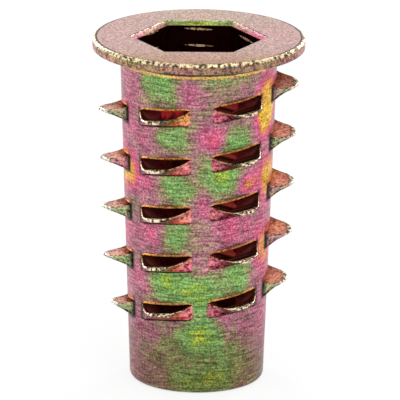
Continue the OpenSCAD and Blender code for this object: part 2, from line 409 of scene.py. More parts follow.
def barbed_wall(finish):
    """Wraps barb cells round the tapered barrel along the helix, plain cells before and after them."""
    inputs = {
        "Barb cell": wall_cell("barb_cell", True),
        "Plain cell": wall_cell("plain_cell", False),
        "Finish": finish,
        "Cells": BLANKS_ABOVE + BARB_COUNT + BLANKS_BELOW,
        "Cells above": BLANKS_ABOVE,
        "Barbs": BARB_COUNT,
        "First slit height": FIRST_SLIT_Z,
        "First turn": FIRST_TURN,
        "Turn of a step": HEX_STEP,
        "Socket lag": BARB_TURN,
        "Helix pitch": HELIX_PITCH,
        "Nose radius": END_R,
        "Taper": TAPER,
        "Barb height": BARB_HEIGHT,
        "Barb reach": BARB_REACH,
        "Tip drop": TIP_DROP,
        "Lead-in barbs": LEAD_IN_BARBS,
        "Lead-in share": LEAD_IN_SHARE,
        "Socket corner radius": HEX_CORNER_R,
        "Socket slope": math.tan(HEX_STEP / 2),
    }
    tree, given, identifiers = new_tree("barbed_wall", inputs)
    math_node, named = "ShaderNodeMath", "GeometryNodeInputNamedAttribute"

    # One point for each cell, numbered so that the first barb is 0
    line = add(tree, "GeometryNodeMeshLine", None, {"Count": given["Cells"], "Offset": (0, 0, 0)})
    index = add(tree, "GeometryNodeInputIndex")
    number = add(tree, math_node, {"operation": "SUBTRACT"}, {0: index, 1: given["Cells above"]})
    points = add(
        tree,
        "GeometryNodeStoreNamedAttribute",
        {"data_type": "FLOAT", "domain": "POINT"},
        {"Geometry": line, "Name": "barb", "Value": number},
    )
    started = add(tree, math_node, {"operation": "GREATER_THAN"}, {0: number, 1: -0.5})
    unfinished = add(tree, math_node, {"operation": "LESS_THAN"}, {0: number, 1: given["Barbs"]})
    barbed = add(tree, math_node, {"operation": "MULTIPLY"}, {0: started, 1: unfinished})
    plain = add(tree, math_node, {"operation": "SUBTRACT"}, {0: 1.0, 1: barbed})
    placed = []
    for label, chosen in (("Barb cell", barbed), ("Plain cell", plain)):
        cell = add(tree, "GeometryNodeObjectInfo", None, {"Object": given[label]})
        placed.append(
            add(
                tree,
                "GeometryNodeInstanceOnPoints",
                None,
                {"Points": points, "Selection": chosen, "Instance": cell.outputs["Geometry"]},
            )
        )
    joined = add(tree, "GeometryNodeJoinGeometry", None, {"Geometry": placed})
    real = add(tree, "GeometryNodeRealizeInstances", None, {"Geometry": joined})

    # Flat places and what each point carries with it
    flat = add(tree, "ShaderNodeSeparateXYZ", None, {0: add(tree, "GeometryNodeInputPosition")}).outputs
    along, height, out = flat["X"], flat["Y"], flat["Z"]
    barb = add(tree, named, {"data_type": "FLOAT"}, {"Name": "barb"})
    anchor = add(tree, named, {"data_type": "FLOAT"}, {"Name": "anchor"})
    setback = add(tree, named, {"data_type": "FLOAT"}, {"Name": "setback"})
    turn = add(tree, named, {"data_type": "FLOAT"}, {"Name": "turn"})
    inward = add(tree, named, {"data_type": "FLOAT"}, {"Name": "inward"})

    # The last barbs before the nose are shorter
    last = add(tree, math_node, {"operation": "SUBTRACT"}, {0: given["Barbs"], 1: 1.0})
    full = add(tree, math_node, {"operation": "SUBTRACT"}, {0: last, 1: given["Lead-in barbs"]})
    share = add(
        tree,
        "ShaderNodeMapRange",
        None,
        {"Value": barb, "From Min": full, "From Max": last, "To Min": 1.0, "To Max": given["Lead-in share"]},
    )

    # Height on the helix
    step = add(
        tree, math_node, {"operation": "MULTIPLY"}, {0: given["Helix pitch"], 1: -1 / BARBS_PER_TURN}
    )
    slit = add(
        tree, math_node, {"operation": "MULTIPLY_ADD"}, {0: barb, 1: step, 2: given["First slit height"]}
    )
    root_z = add(tree, math_node, {"operation": "SUBTRACT"}, {0: slit, 1: given["Barb height"]})
    root_r = add(
        tree,
        math_node,
        {"operation": "MULTIPLY_ADD"},
        {0: root_z, 1: given["Taper"], 2: given["Nose radius"]},
    )
    sine = add(tree, math_node, {"operation": "DIVIDE"}, {0: along, 1: root_r})
    lean = add(tree, math_node, {"operation": "ARCSINE"}, {0: sine})
    wall_turn = add(tree, math_node, {"operation": "ADD"}, {0: turn, 1: lean})
    aside = add(tree, math_node, {"operation": "ABSOLUTE"}, {0: along})
    socket_drop = add(tree, math_node, {"operation": "MULTIPLY"}, {0: aside, 1: given["Socket slope"]})
    socket_x = add(
        tree, math_node, {"operation": "SUBTRACT"}, {0: given["Socket corner radius"], 1: socket_drop}
    )
    socket_angle = add(tree, math_node, {"operation": "ARCTAN2"}, {0: along, 1: socket_x})
    socket_turn = add(tree, math_node, {"operation": "SUBTRACT"}, {0: socket_angle, 1: given["Socket lag"]})
    around = add(
        tree, "ShaderNodeMapRange", None, {"Value": inward, "To Min": wall_turn, "To Max": socket_turn}
    )
    per_turn = add(tree, math_node, {"operation": "DIVIDE"}, {0: given["Helix pitch"], 1: 2 * math.pi})
    climb = add(tree, math_node, {"operation": "MULTIPLY_ADD"}, {0: around, 1: per_turn, 2: slit})
    short = add(tree, math_node, {"operation": "SUBTRACT"}, {0: 1.0, 1: share})
    spare = add(tree, math_node, {"operation": "MULTIPLY"}, {0: short, 1: given["Tip drop"]})
    lifted = add(tree, math_node, {"operation": "MULTIPLY_ADD"}, {0: out, 1: spare, 2: height})
    z = add(tree, math_node, {"operation": "ADD"}, {0: climb, 1: lifted})

    # Distance from the axis, on the tapered wall, towards the tip, or on the socket
    wall_r = add(
        tree, math_node, {"operation": "MULTIPLY_ADD"}, {0: z, 1: given["Taper"], 2: given["Nose radius"]}
    )
    wall_r2 = add(tree, math_node, {"operation": "MULTIPLY"}, {0: wall_r, 1: wall_r})
    anchor2 = add(tree, math_node, {"operation": "MULTIPLY"}, {0: anchor, 1: anchor})
    wall_x2 = add(tree, math_node, {"operation": "SUBTRACT"}, {0: wall_r2, 1: anchor2})
    wall_x = add(tree, math_node, {"operation": "SQRT"}, {0: wall_x2})
    tip_x = add(
        tree, math_node, {"operation": "MULTIPLY_ADD"}, {0: share, 1: given["Barb reach"], 2: root_r}
    )
    reach_x = add(tree, "ShaderNodeMapRange", None, {"Value": out, "To Min": wall_x, "To Max": tip_x})
    held = add(tree, math_node, {"operation": "MULTIPLY"}, {0: setback, 1: share})
    outside_x = add(tree, math_node, {"operation": "SUBTRACT"}, {0: reach_x, 1: held})
    x = add(
        tree, "ShaderNodeMapRange", None, {"Value": inward, "To Min": outside_x, "To Max": socket_x}
    )

    # Round the axis
    back = add(tree, math_node, {"operation": "MULTIPLY"}, {0: given["Turn of a step"], 1: -1.0})
    placed_turn = add(
        tree, math_node, {"operation": "MULTIPLY_ADD"}, {0: barb, 1: back, 2: given["First turn"]}
    )
    cell_turn = add(tree, math_node, {"operation": "ADD"}, {0: placed_turn, 1: turn})
    lag = add(tree, math_node, {"operation": "MULTIPLY"}, {0: inward, 1: given["Socket lag"]})
    angle = add(tree, math_node, {"operation": "SUBTRACT"}, {0: cell_turn, 1: lag})
    spot = add(tree, "ShaderNodeCombineXYZ", None, {"X": x, "Y": along, "Z": z})
    wrapped = add(
        tree, "ShaderNodeVectorRotate", {"rotation_type": "Z_AXIS"}, {"Vector": spot, "Angle": angle}
    )
    bent = add(tree, "GeometryNodeSetPosition", None, {"Geometry": real, "Position": wrapped})
    closed = add(tree, "GeometryNodeMergeByDistance", None, {"Geometry": bent, "Distance": MERGE_DISTANCE})
    dressed = add(tree, "GeometryNodeSetMaterial", None, {"Geometry": closed, "Material": given["Finish"]})
    add(tree, "NodeGroupOutput", None, {0: dressed})
    mesh = grow("barbed_wall", tree, identifiers, inputs)
    for label in ("Barb cell", "Plain cell"):
        bpy.data.objects.remove(inputs[label])
    return mesh


def ring_of(verts):
    """Sorts a boundary loop round the axis."""
    return sorted(verts, key=lambda v: math.atan2(v.co.y, v.co.x))


def hexagon_r(angle, half):
    """Distance from the axis to a hexagon with a corner on X, at an angle."""
    return half / math.cos((angle % HEX_STEP) - HEX_STEP / 2)


def tapped_r(angle, z):
    """Distance from the axis to the tapped thread, or to the cones at its two ends."""
    turn = (z - TAP_Z) / THREAD_PITCH - (angle - math.pi / 2) / (2 * math.pi)
    aside = abs(turn - round(turn)) * THREAD_PITCH
    groove = TAP_R - max(0.0, aside - TAP_TIP / 2) / THREAD_FLANK
    drill_z = NOSE_LENGTH - (HEX_HALF - THREAD_R) * THREAD_FLANK
    cone = THREAD_R + max(0.0, THREAD_CHAMFER - z, (z - drill_z) / THREAD_FLANK)
    widest = HEX_HALF - TAP_CLEARANCE if z > drill_z else TAP_R
    return min(max(groove, cone, THREAD_R), widest)


def turned_insert(finish):
    """Cuts the wrapped wall to length and closes it with the flange, the socket's mouth and the nose."""
    work = bmesh.new()
    work.from_mesh(barbed_wall(finish))
    inward = work.verts.layers.float["inward"]
    hidden = work.verts.layers.float["hidden"]
    crease = work.verts.layers.float["crease"]
    sheared = work.faces.layers.float["sheared"]
    bmesh.ops.delete(work, geom=[v for v in work.verts if not v.link_faces], context="VERTS")
    for v in work.verts:
        # The socket below its mouth is in painted shade
        if v[inward] > 0.5 and v.co.z > BARREL_LENGTH - SHADED_MOUTH:
            v[hidden] = 1.0
    fillet_z = BARREL_LENGTH - FLANGE_FILLET
    nose_lean = math.sqrt(1 + TAPER * TAPER)
    nose_z = NOSE_ROUND - NOSE_ROUND * TAPER / nose_lean
    mouth_z = TOTAL_HEIGHT - MOUTH_CHAMFER
    loops = {}
    for inside, up, level in (
        (0, True, fillet_z),
        (0, False, nose_z),
        (1, True, mouth_z),
        (1, False, NOSE_LENGTH),
    ):
        way = 1 if up else -1
        side = [f for f in work.faces if all((v[inward] > 0.5) == bool(inside) for v in f.verts)]
        near = [f for f in side if any((level - v.co.z) * way < CUT_REACH for v in f.verts)]
        parts = set(near) | {e for f in near for e in f.edges} | {v for f in near for v in f.verts}
        cut = bmesh.ops.bisect_plane(
            work,
            geom=list(parts),
            dist=CUT_SNAP,
            plane_co=(0, 0, level),
            plane_no=(0, 0, way),
            clear_outer=True,
        )
        ring = [v for v in cut["geom_cut"] if isinstance(v, bmesh.types.BMVert)]
        loops[inside, up] = ring_of([v for v in ring if any(e.is_boundary for e in v.link_edges)])

    def carry(ring, radius_at, z, depth=0.0, dark=0.0, mark=PLAIN):
        """Draws the next ring of a profile and joins it to the last one."""
        after = []
        for v in ring:
            angle = math.atan2(v.co.y, v.co.x)
            radius = radius_at(angle) if callable(radius_at) else radius_at
            made = work.verts.new((radius * math.cos(angle), radius * math.sin(angle), z))
            made[hidden] = depth
            made[crease] = dark
            after.append(made)
        for i in range(len(ring)):
            strip = work.faces.new((ring[i - 1], ring[i], after[i], after[i - 1]))
            strip[sheared] = mark
        return after

    def arc(ring, centre_r, centre_z, radius, start, end, steps, dark=0.0, mark=PLAIN):
        """Carries a ring along a round edge, with a painted dark line growing towards its end."""
        for i in range(1, steps + 1):
            a = math.radians(start + (end - start) * i / steps)
            r, z = centre_r + radius * math.cos(a), centre_z + radius * math.sin(a)
            ring = carry(ring, r, z, 0.0, dark * i / steps, mark)
        return ring

    def join(first, second):
        """Closes the gap between two rings with triangles, in order of angle."""
        rings = [ring_of(first), ring_of(second)]
        turns = [[math.atan2(v.co.y, v.co.x) for v in ring] for ring in rings]
        for ring, turn in zip(rings, turns):
            ring.append(ring[0])
            turn.append(turn[0] + 2 * math.pi)
        at = [0, 0]
        while at[0] + 1 < len(rings[0]) or at[1] + 1 < len(rings[1]):
            ahead = [t[i + 1] if i + 1 < len(t) else math.inf for t, i in zip(turns, at)]
            k = 0 if ahead[0] <= ahead[1] else 1
            work.faces.new((rings[k][at[k]], rings[k][at[k] + 1], rings[1 - k][at[1 - k]]))
            at[k] += 1

    # Flange, from the fillet under it round the rim to the socket's mouth
    ring = loops[0, True]
    wall_r = END_R + TAPER * fillet_z
    # Painted shadow under the flange, along the fillet and out to the shadow line
    ring = arc(ring, wall_r + FLANGE_FILLET, fillet_z, FLANGE_FILLET, 180, 90, 5, 1.0)
    ring = carry(ring, FLANGE_R - SHADOW_STEP, BARREL_LENGTH, 0.0, 0.6)
    ring = carry(ring, FLANGE_R - RIM_BURR * 2, BARREL_LENGTH)
    ring = carry(ring, FLANGE_R - RIM_BURR, BARREL_LENGTH)
    ring = arc(ring, FLANGE_R - RIM_BURR, BARREL_LENGTH + RIM_BURR, RIM_BURR, -90, 0, 3, 0.0, RIM)
    for share in (0.33, 0.67, 1.0):
        z = BARREL_LENGTH + RIM_BURR + share * (FLANGE_T - RIM_ROUND - RIM_BURR)
        ring = carry(ring, FLANGE_R, z, 0.0, 0.0, RIM)
    round_r = FLANGE_R - RIM_ROUND
    round_z = TOTAL_HEIGHT - RIM_ROUND
    # The rim's rounded top edge is painted pale as its highlight, then a dark line where it meets the top
    ring = arc(ring, round_r, round_z, RIM_ROUND, 0, 75, 5, 0.0, TURNED_EDGE)
    ring = arc(ring, round_r, round_z, RIM_ROUND, 75, 90, 1, 0.75)
    ring = carry(ring, round_r - RIM_STEP, TOTAL_HEIGHT)
    for step in FLANGE_STEPS:
        ring = carry(ring, FLANGE_R - step, TOTAL_HEIGHT)
    mouth = loops[1, True]
    # The mouth's rim is in painted shade
    for v in mouth:
        v[hidden] = 1.0
    chamfer_half = HEX_HALF + MOUTH_CHAMFER
    # The chamfer's turned edge is painted pale as a highlight, with a dark line
    for half, z, depth, dark, mark in (
        (HEX_HALF + EDGE_STEP, mouth_z + EDGE_STEP, 0.2, 0.0, PLAIN),
        (chamfer_half - EDGE_BREAK, TOTAL_HEIGHT - EDGE_BREAK, 0.0, 0.0, PLAIN),
        (chamfer_half + EDGE_STEP, TOTAL_HEIGHT, 0.0, 0.5, TURNED_EDGE),
        (chamfer_half + RIM_STEP, TOTAL_HEIGHT, 0.0, 0.0, PLAIN),
    ):
        mouth = carry(mouth, lambda a: hexagon_r(a, half), z, depth, dark, mark)
    join(ring, mouth)

    # Nose, from the wall round its edge to the tapped hole and the socket's floor
    ring = loops[0, False]
    centre_r = END_R + TAPER * NOSE_ROUND - NOSE_ROUND * nose_lean
    start = -math.degrees(math.atan(TAPER))
    # A dark line painted as shade along the nose's lower edge
    ring = arc(ring, centre_r, NOSE_ROUND, NOSE_ROUND, start, -90, 6, 0.8)
    bore = loops[1, False]
    # Painted shade down the tapped hole, darkest near the socket
    for i in range(TAP_RINGS + 1):
        z = NOSE_LENGTH * (1 - i / TAP_RINGS)
        bore = carry(bore, lambda a: tapped_r(a, z), z, 0.1 + 0.8 * z / NOSE_LENGTH)
    join(ring, bore)

    bmesh.ops.recalc_face_normals(work, faces=work.faces)
    for f in work.faces:
        f.material_index = 0
    mesh = bpy.data.meshes.new("insert_body")
    work.to_mesh(mesh)
    work.free()
    mesh.materials.append(finish)
    return mesh


# Yellow zinc chromate on drawn steel: a clear film that shows gold, rose or green by its thickness,
# in blotches where the bath drained, over fine lines that drawing left round the barrel. Edges that
# were sheared before plating show pale and grainy, partly as painted highlights; hollows and creases
# get painted shade, brown to black, and the socket painted red light.
# Its patterns, as how many of each there are to a millimetre: the drawn lines are really finer, and
# are drawn as coarse as they need to show
BLOTCHES_PER_MM = 0.28
MOTTLES_PER_MM = 1.6
STREAKS_PER_MM = 0.9
LINES_PER_MM = 6.5
SPECKLES_PER_MM = 7.0
CHIPS_PER_MM = 3.4
CRUMBS_PER_MM = 4.2

# Film colours from thin to thick
FILM = (
    (0.0, "#e4b232"),
    (0.12, "#dc8e4e"),
    (0.24, "#ca5878"),
    (0.36, "#b6657e"),
    (0.47, "#a4727a"),
    (0.56, "#948066"),
    (0.64, "#84925c"),
    (0.76, "#769f5f"),
    (0.88, "#84a246"),
    (1.0, "#aca83c"),
)

# Blotches of thicker or thinner film: turn from the front, height and size, then the change
BLOTCHES = (
    (-29, 23.7, 2.6, 0.28),
    (15, 24.5, 2.0, 0.08),
    (38, 24.3, 2.2, 0.05),
    (-7, 22.8, 1.8, -0.16),
    (-60, 22.5, 2.4, -0.14),
    (64, 22.0, 2.6, -0.5),
    (60, 20.2, 2.2, -0.5),
    (-46, 19.4, 2.2, -0.1),
    (-20, 19.4, 1.9, 0.24),
    (12, 19.6, 2.0, -0.22),
    (30, 18.9, 1.8, 0.22),
    (18, 16.8, 2.2, 0.4),
    (-46, 15.8, 2.3, -0.12),
    (-19, 15.7, 2.2, 0.3),
    (-72, 16.2, 2.8, -0.48),
    (42, 15.7, 1.3, -0.36),
    (3, 14.6, 1.6, -0.12),
    (-42, 12.2, 2.2, -0.13),
    (-72, 11.6, 2.6, -0.24),
    (-72, 20.6, 2.4, -0.18),
    (-19, 12.0, 1.9, 0.28),
    (28, 12.3, 2.8, -0.24),
    (52, 12.0, 2.0, -0.14),
    (70, 15.8, 3.0, -0.34),
    (70, 10.4, 2.8, -0.3),
    (-25, 8.8, 2.6, 0.37),
    (4, 7.8, 2.4, 0.34),
    (33, 9.0, 2.2, 0.26),
    (-56, 8.5, 2.2, -0.14),
    (2, 4.4, 2.3, 0.38),
    (-17, 3.4, 2.4, 0.14),
    (20, 2.4, 2.4, 0.14),
    (-46, 3.0, 3.0, -0.03),
    (46, 3.4, 2.8, 0.02),
    (-6, 0.8, 2.4, 0.4),
    (20, 0.9, 1.9, 0.26),
)
# The green film inside the mouth's far edge
MOUTH_BLOTCH = (180, 25.6, 5.0, 0.5)


def yellow_zinc_chromate():
    """Makes the plating's material."""
    material = bpy.data.materials.new("yellow_zinc_chromate")
    material.use_nodes = True
    tree = material.node_tree
    tree.nodes.clear()
    math_node, vector_node, noise = "ShaderNodeMath", "ShaderNodeVectorMath", "ShaderNodeTexNoise"
    # A mix of colours takes them at its inputs 6 and 7
    colour_mix = {"data_type": "RGBA"}

    # Places in millimetres from the nose's centre
    place = add(
        tree,
        "ShaderNodeMapping",
        None,
        {"Vector": add(tree, "ShaderNodeTexCoord").outputs["Object"], "Scale": (1 / MM, 1 / MM, 1 / MM)},
    )
    spot = add(tree, "ShaderNodeSeparateXYZ", None, {0: place}).outputs
    level = add(tree, "ShaderNodeCombineXYZ", None, {"X": spot["X"], "Y": spot["Y"]})
    radius = add(tree, vector_node, {"operation": "LENGTH"}, {0: level}).outputs["Value"]
    side = add(tree, math_node, {"operation": "DIVIDE"}, {0: spot["X"], 1: radius})

    # Blotches, mottling, drawn lines and fine specks
    blotch = add(tree, noise, None, {"Vector": place, "Scale": BLOTCHES_PER_MM, "Detail": 2.0})
    mottle = add(tree, noise, None, {"Vector": place, "Scale": MOTTLES_PER_MM, "Detail": 3.0})
    lines = add(
        tree,
        "ShaderNodeMapping",
        None,
        {"Vector": place, "Scale": (STREAKS_PER_MM, STREAKS_PER_MM, LINES_PER_MM)},
    )
    grain = add(tree, noise, None, {"Vector": lines, "Scale": 1.0, "Detail": 3.0, "Roughness": 0.65})
    speckle = add(
        tree, noise, None, {"Vector": place, "Scale": SPECKLES_PER_MM, "Detail": 2.0, "Roughness": 0.8}
    )

    # Thickness of the film
    film = add(tree, math_node, {"operation": "MULTIPLY_ADD"}, {0: blotch, 1: 0.5, 2: -0.1})
    for pattern, amount in ((mottle, 0.34), (grain, 0.16), (speckle, 0.2)):
        film = add(tree, math_node, {"operation": "MULTIPLY_ADD"}, {0: pattern, 1: amount, 2: film})
    far_side = tuple((turn + 180, height, size, shift) for turn, height, size, shift in BLOTCHES)
    for turn, height, size, shift in BLOTCHES + far_side + (MOUTH_BLOTCH,):
        a = math.radians(turn)
        wall = END_R + TAPER * height
        centre = (wall * math.sin(a), -wall * math.cos(a), height)
        away = add(tree, vector_node, {"operation": "DISTANCE"}, {0: place, 1: centre}).outputs["Value"]
        near = add(
            tree,
            "ShaderNodeMapRange",
            {"interpolation_type": "SMOOTHSTEP"},
            {"Value": away, "From Max": size, "To Min": shift, "To Max": 0.0},
        )
        film = add(tree, math_node, {"operation": "ADD"}, {0: film, 1: near})

    # Pressed faces of the barbs have a film of their own, and the barrel's left and right a thinner one
    sheared = add(tree, "ShaderNodeAttribute", {"attribute_name": "sheared"}).outputs["Fac"]
    pressed = add(tree, math_node, {"operation": "COMPARE"}, {0: sheared, 1: PRESSED, 2: MARK_HALF})
    outward = add(tree, math_node, {"operation": "ABSOLUTE"}, {0: side})
    aside = add(tree, "ShaderNodeMapRange", None, {"Value": outward, "From Min": 0.6, "From Max": 0.95})
    left_film = add(
        tree,
        "ShaderNodeMapRange",
        None,
        {"Value": spot["Z"], "From Min": 20.0, "From Max": 22.0, "To Min": 0.1, "To Max": -0.06},
    )
    front_film = add(
        tree,
        "ShaderNodeMapRange",
        None,
        {"Value": side, "From Min": -0.2, "From Max": 0.2, "To Min": left_film, "To Max": 0.14},
    )
    front_film = add(tree, math_node, {"operation": "MULTIPLY_ADD"}, {0: mottle, 1: 0.2, 2: front_film})
    side_film = add(tree, math_node, {"operation": "ADD"}, {0: film, 1: 0.3})
    barb_film = add(
        tree, "ShaderNodeMapRange", None, {"Value": aside, "To Min": front_film, "To Max": side_film}
    )
    film = add(tree, "ShaderNodeMapRange", None, {"Value": pressed, "To Min": film, "To Max": barb_film})
    for start, end, shift in ((-0.8, -1.0, -0.1), (0.75, 1.0, -0.12)):
        edge = add(
            tree,
            "ShaderNodeMapRange",
            None,
            {"Value": side, "From Min": start, "From Max": end, "To Min": 0.0, "To Max": shift},
        )
        film = add(tree, math_node, {"operation": "ADD"}, {0: film, 1: edge})
    tint = add(tree, "ShaderNodeValToRGB", None, {"Fac": film})
    stops = tint.color_ramp.elements
    stops[0].color = linear(FILM[0][1])
    stops[1].color = linear(FILM[-1][1])
    for at, code in FILM[1:-1]:
        stops.new(at).color = linear(code)

    # Light and dark of the drawn lines, painted shade darkening the barrel towards the nose, a browner film
    # there, and the gold line and painted shadow under the flange
    streak = add(
        tree,
        "ShaderNodeMapRange",
        None,
        {"Value": grain, "From Min": 0.34, "From Max": 0.66, "To Min": 0.5, "To Max": 1.5},
    )
    fleck = add(
        tree,
        "ShaderNodeMapRange",
        None,
        {"Value": speckle, "From Min": 0.36, "From Max": 0.64, "To Min": 0.5, "To Max": 1.75},
    )
    # Painted shade, darker towards the nose
    shade = add(
        tree,
        "ShaderNodeMapRange",
        {"interpolation_type": "SMOOTHSTEP"},
        {"Value": spot["Z"], "From Min": 0.0, "From Max": 9.0, "To Min": 0.58, "To Max": 1.0},
    )
    # Painted shadow in the corner under the flange
    corner = add(
        tree, math_node, {"operation": "COMPARE"}, {0: spot["Z"], 1: FLANGE_SHADOW_Z, 2: FLANGE_SHADOW_HALF}
    )
    corner = add(tree, "ShaderNodeMapRange", None, {"Value": corner, "To Min": 1.0, "To Max": 0.3})
    for factor in (fleck, shade, corner):
        streak = add(tree, math_node, {"operation": "MULTIPLY"}, {0: streak, 1: factor})
    browned = add(
        tree,
        "ShaderNodeMapRange",
        {"interpolation_type": "SMOOTHSTEP"},
        {"Value": spot["Z"], "From Max": 6.0, "To Min": 0.4, "To Max": 0.0},
    )
    colour = add(
        tree, "ShaderNodeMix", colour_mix, {0: browned, 6: tint.outputs["Color"], 7: linear("#94804a")}
    )
    gold = add(
        tree, math_node, {"operation": "COMPARE"}, {0: spot["Z"], 1: GOLD_LINE_Z, 2: GOLD_LINE_HALF}
    )
    gold = add(tree, math_node, {"operation": "MULTIPLY"}, {0: gold, 1: 0.85})
    colour = add(tree, "ShaderNodeMix", colour_mix, {0: gold, 6: colour, 7: linear("#dfaa62")})
    colour = add(tree, vector_node, {"operation": "SCALE"}, {0: colour, "Scale": streak})

    # The flange's top is rubbed pale and powdery
    top = add(
        tree,
        "ShaderNodeMapRange",
        None,
        {"Value": spot["Z"], "From Min": TOTAL_HEIGHT - 0.05, "From Max": TOTAL_HEIGHT, "To Max": 0.86},
    )
    front = add(
        tree,
        "ShaderNodeMapRange",
        {"interpolation_type": "SMOOTHSTEP"},
        {"Value": spot["Y"], "From Min": -2.5, "From Max": -7.5, "To Max": 0.85},
    )
    rubbed = add(
        tree,
        "ShaderNodeMix",
        colour_mix,
        {0: front, 6: linear("#d6b2a9"), 7: linear("#c08c68")},
    )
    powder = add(
        tree,
        "ShaderNodeMapRange",
        None,
        {"Value": speckle, "From Min": 0.3, "From Max": 0.7, "To Min": 0.25, "To Max": 1.75},
    )
    rubbed = add(tree, vector_node, {"operation": "SCALE"}, {0: rubbed, "Scale": powder})
    colour = add(tree, "ShaderNodeMix", colour_mix, {0: top, 6: colour, 7: rubbed})

    # The barbs' pressed faces are flecked pale and dark
    chips = add(
        tree, noise, None, {"Vector": place, "Scale": CHIPS_PER_MM, "Detail": 2.0, "Roughness": 0.7}
    )
    scuffed = add(
        tree,
        "ShaderNodeMapRange",
        None,
        {"Value": chips, "From Min": 0.42, "From Max": 0.62, "To Max": 0.7},
    )
    worn = add(
        tree,
        "ShaderNodeMapRange",
        None,
        {"Value": outward, "From Min": 0.6, "From Max": 0.95, "To Min": 0.35, "To Max": 1.0},
    )
    for other in (pressed, worn):
        scuffed = add(tree, math_node, {"operation": "MULTIPLY"}, {0: scuffed, 1: other})
    marked = add(
        tree,
        "ShaderNodeMapRange",
        None,
        {"Value": chips, "From Min": 0.34, "From Max": 0.56, "To Min": 0.25, "To Max": 1.25},
    )
    lean = add(tree, math_node, {"operation": "MULTIPLY_ADD"}, {0: side, 1: -0.9, 2: 1.0})
    lean = add(
        tree,
        "ShaderNodeMapRange",
        None,
        {"Value": outward, "From Min": 0.6, "From Max": 0.95, "To Min": lean, "To Max": 1.0},
    )
    marked = add(tree, math_node, {"operation": "MULTIPLY"}, {0: marked, 1: lean})
    marked = add(tree, "ShaderNodeMapRange", None, {"Value": pressed, "To Min": 1.0, "To Max": marked})
    colour = add(tree, vector_node, {"operation": "SCALE"}, {0: colour, "Scale": marked})
    colour = add(tree, "ShaderNodeMix", colour_mix, {0: scuffed, 6: colour, 7: linear("#dcc0a6")})

    # Sheared edges: brown on the rim, pale rose in the scoops, orange on the slits, cream on the lips. The
    # bright orange of the slits' rounded edges, the cream of the lips and the pale turned edges are partly
    # painted highlight
    cut = add(tree, "ShaderNodeValToRGB", None, {"Fac": sheared})
    stops = cut.color_ramp.elements
    stops[0].position = RIM
    stops[0].color = linear("#a08458")
    stops[1].position = (TORN_FRONT + TORN_LIP) / 2
    stops[1].color = linear("#e6d2b4")
    stops.new(SCOOP).color = linear("#f3c4ae")
    stops.new(SLIT_EDGE).color = linear("#ffa850")
    stops.new(LIP_SIDE).color = linear("#b08a66")
    stops.new(TURNED_EDGE).color = linear("#d8c49a")
    crumbs = add(
        tree, noise, None, {"Vector": place, "Scale": CRUMBS_PER_MM, "Detail": 2.0, "Roughness": 0.7}
    )
    broken = add(
        tree,
        "ShaderNodeMapRange",
        None,
        {"Value": crumbs, "From Min": 0.44, "From Max": 0.55, "To Min": 0.05, "To Max": 1.5},
    )
    scooped = add(tree, math_node, {"operation": "COMPARE"}, {0: sheared, 1: SCOOP, 2: MARK_HALF})
    soft = add(
        tree,
        "ShaderNodeMapRange",
        None,
        {"Value": crumbs, "From Min": 0.36, "From Max": 0.64, "To Min": 0.3, "To Max": 1.6},
    )
    patchy = add(
        tree,
        "ShaderNodeMapRange",
        None,
        {"Value": chips, "From Min": 0.42, "From Max": 0.58, "To Min": 0.08, "To Max": 1.6},
    )
    on_flange = add(tree, math_node, {"operation": "GREATER_THAN"}, {0: spot["Z"], 1: BARREL_LENGTH})
    broken = add(
        tree, "ShaderNodeMapRange", None, {"Value": on_flange, "To Min": broken, "To Max": patchy}
    )
    smooth = add(
        tree, math_node, {"operation": "COMPARE"}, {0: sheared, 1: (SCOOP + SLIT_EDGE) / 2, 2: 0.08}
    )
    broken = add(
        tree, "ShaderNodeMapRange", None, {"Value": smooth, "To Min": broken, "To Max": soft}
    )
    warm = add(tree, "ShaderNodeMapRange", None, {"Value": side, "From Max": 0.8, "To Max": 0.75})
    warm = add(tree, math_node, {"operation": "MULTIPLY"}, {0: warm, 1: scooped})
    cut = add(
        tree, "ShaderNodeMix", colour_mix, {0: warm, 6: cut.outputs["Color"], 7: linear("#f09c68")}
    )
    # Painted light: cut faces on the left side, the scoops among them, are painted up to half as bright
    # again against the shade there
    pale = add(
        tree,
        "ShaderNodeMapRange",
        None,
        {"Value": side, "From Min": -0.9, "From Max": -0.3, "To Min": 1.5, "To Max": 1.0},
    )
    broken = add(tree, math_node, {"operation": "MULTIPLY"}, {0: broken, 1: pale})
    cut = add(tree, vector_node, {"operation": "SCALE"}, {0: cut, "Scale": broken})
    bared = add(
        tree,
        "ShaderNodeMapRange",
        None,
        {"Value": sheared, "From Min": RIM, "From Max": SLIT_EDGE, "To Min": 0.55, "To Max": 0.92},
    )
    marked_cut = add(
        tree, math_node, {"operation": "GREATER_THAN"}, {0: sheared, 1: (PRESSED + RIM) / 2}
    )
    bared = add(tree, math_node, {"operation": "MULTIPLY"}, {0: bared, 1: marked_cut})
    colour = add(tree, "ShaderNodeMix", colour_mix, {0: bared, 6: colour, 7: cut})

    # Painted shade inside the scoops on the near side, and painted red light inside those on the far side
    shaded = add(
        tree,
        "ShaderNodeMapRange",
        None,
        {"Value": outward, "From Min": 0.75, "From Max": 0.9, "To Min": 1.0, "To Max": 0.0},
    )
    shaded = add(tree, math_node, {"operation": "MULTIPLY"}, {0: shaded, 1: scooped})
    behind = add(tree, math_node, {"operation": "GREATER_THAN"}, {0: spot["Y"], 1: 0.0})
    scoop_shade_and_light = add(
        tree, "ShaderNodeMix", colour_mix, {0: behind, 6: linear("#3a2420"), 7: linear("#8c2a2a")}
    )
    colour = add(tree, "ShaderNodeMix", colour_mix, {0: shaded, 6: colour, 7: scoop_shade_and_light})
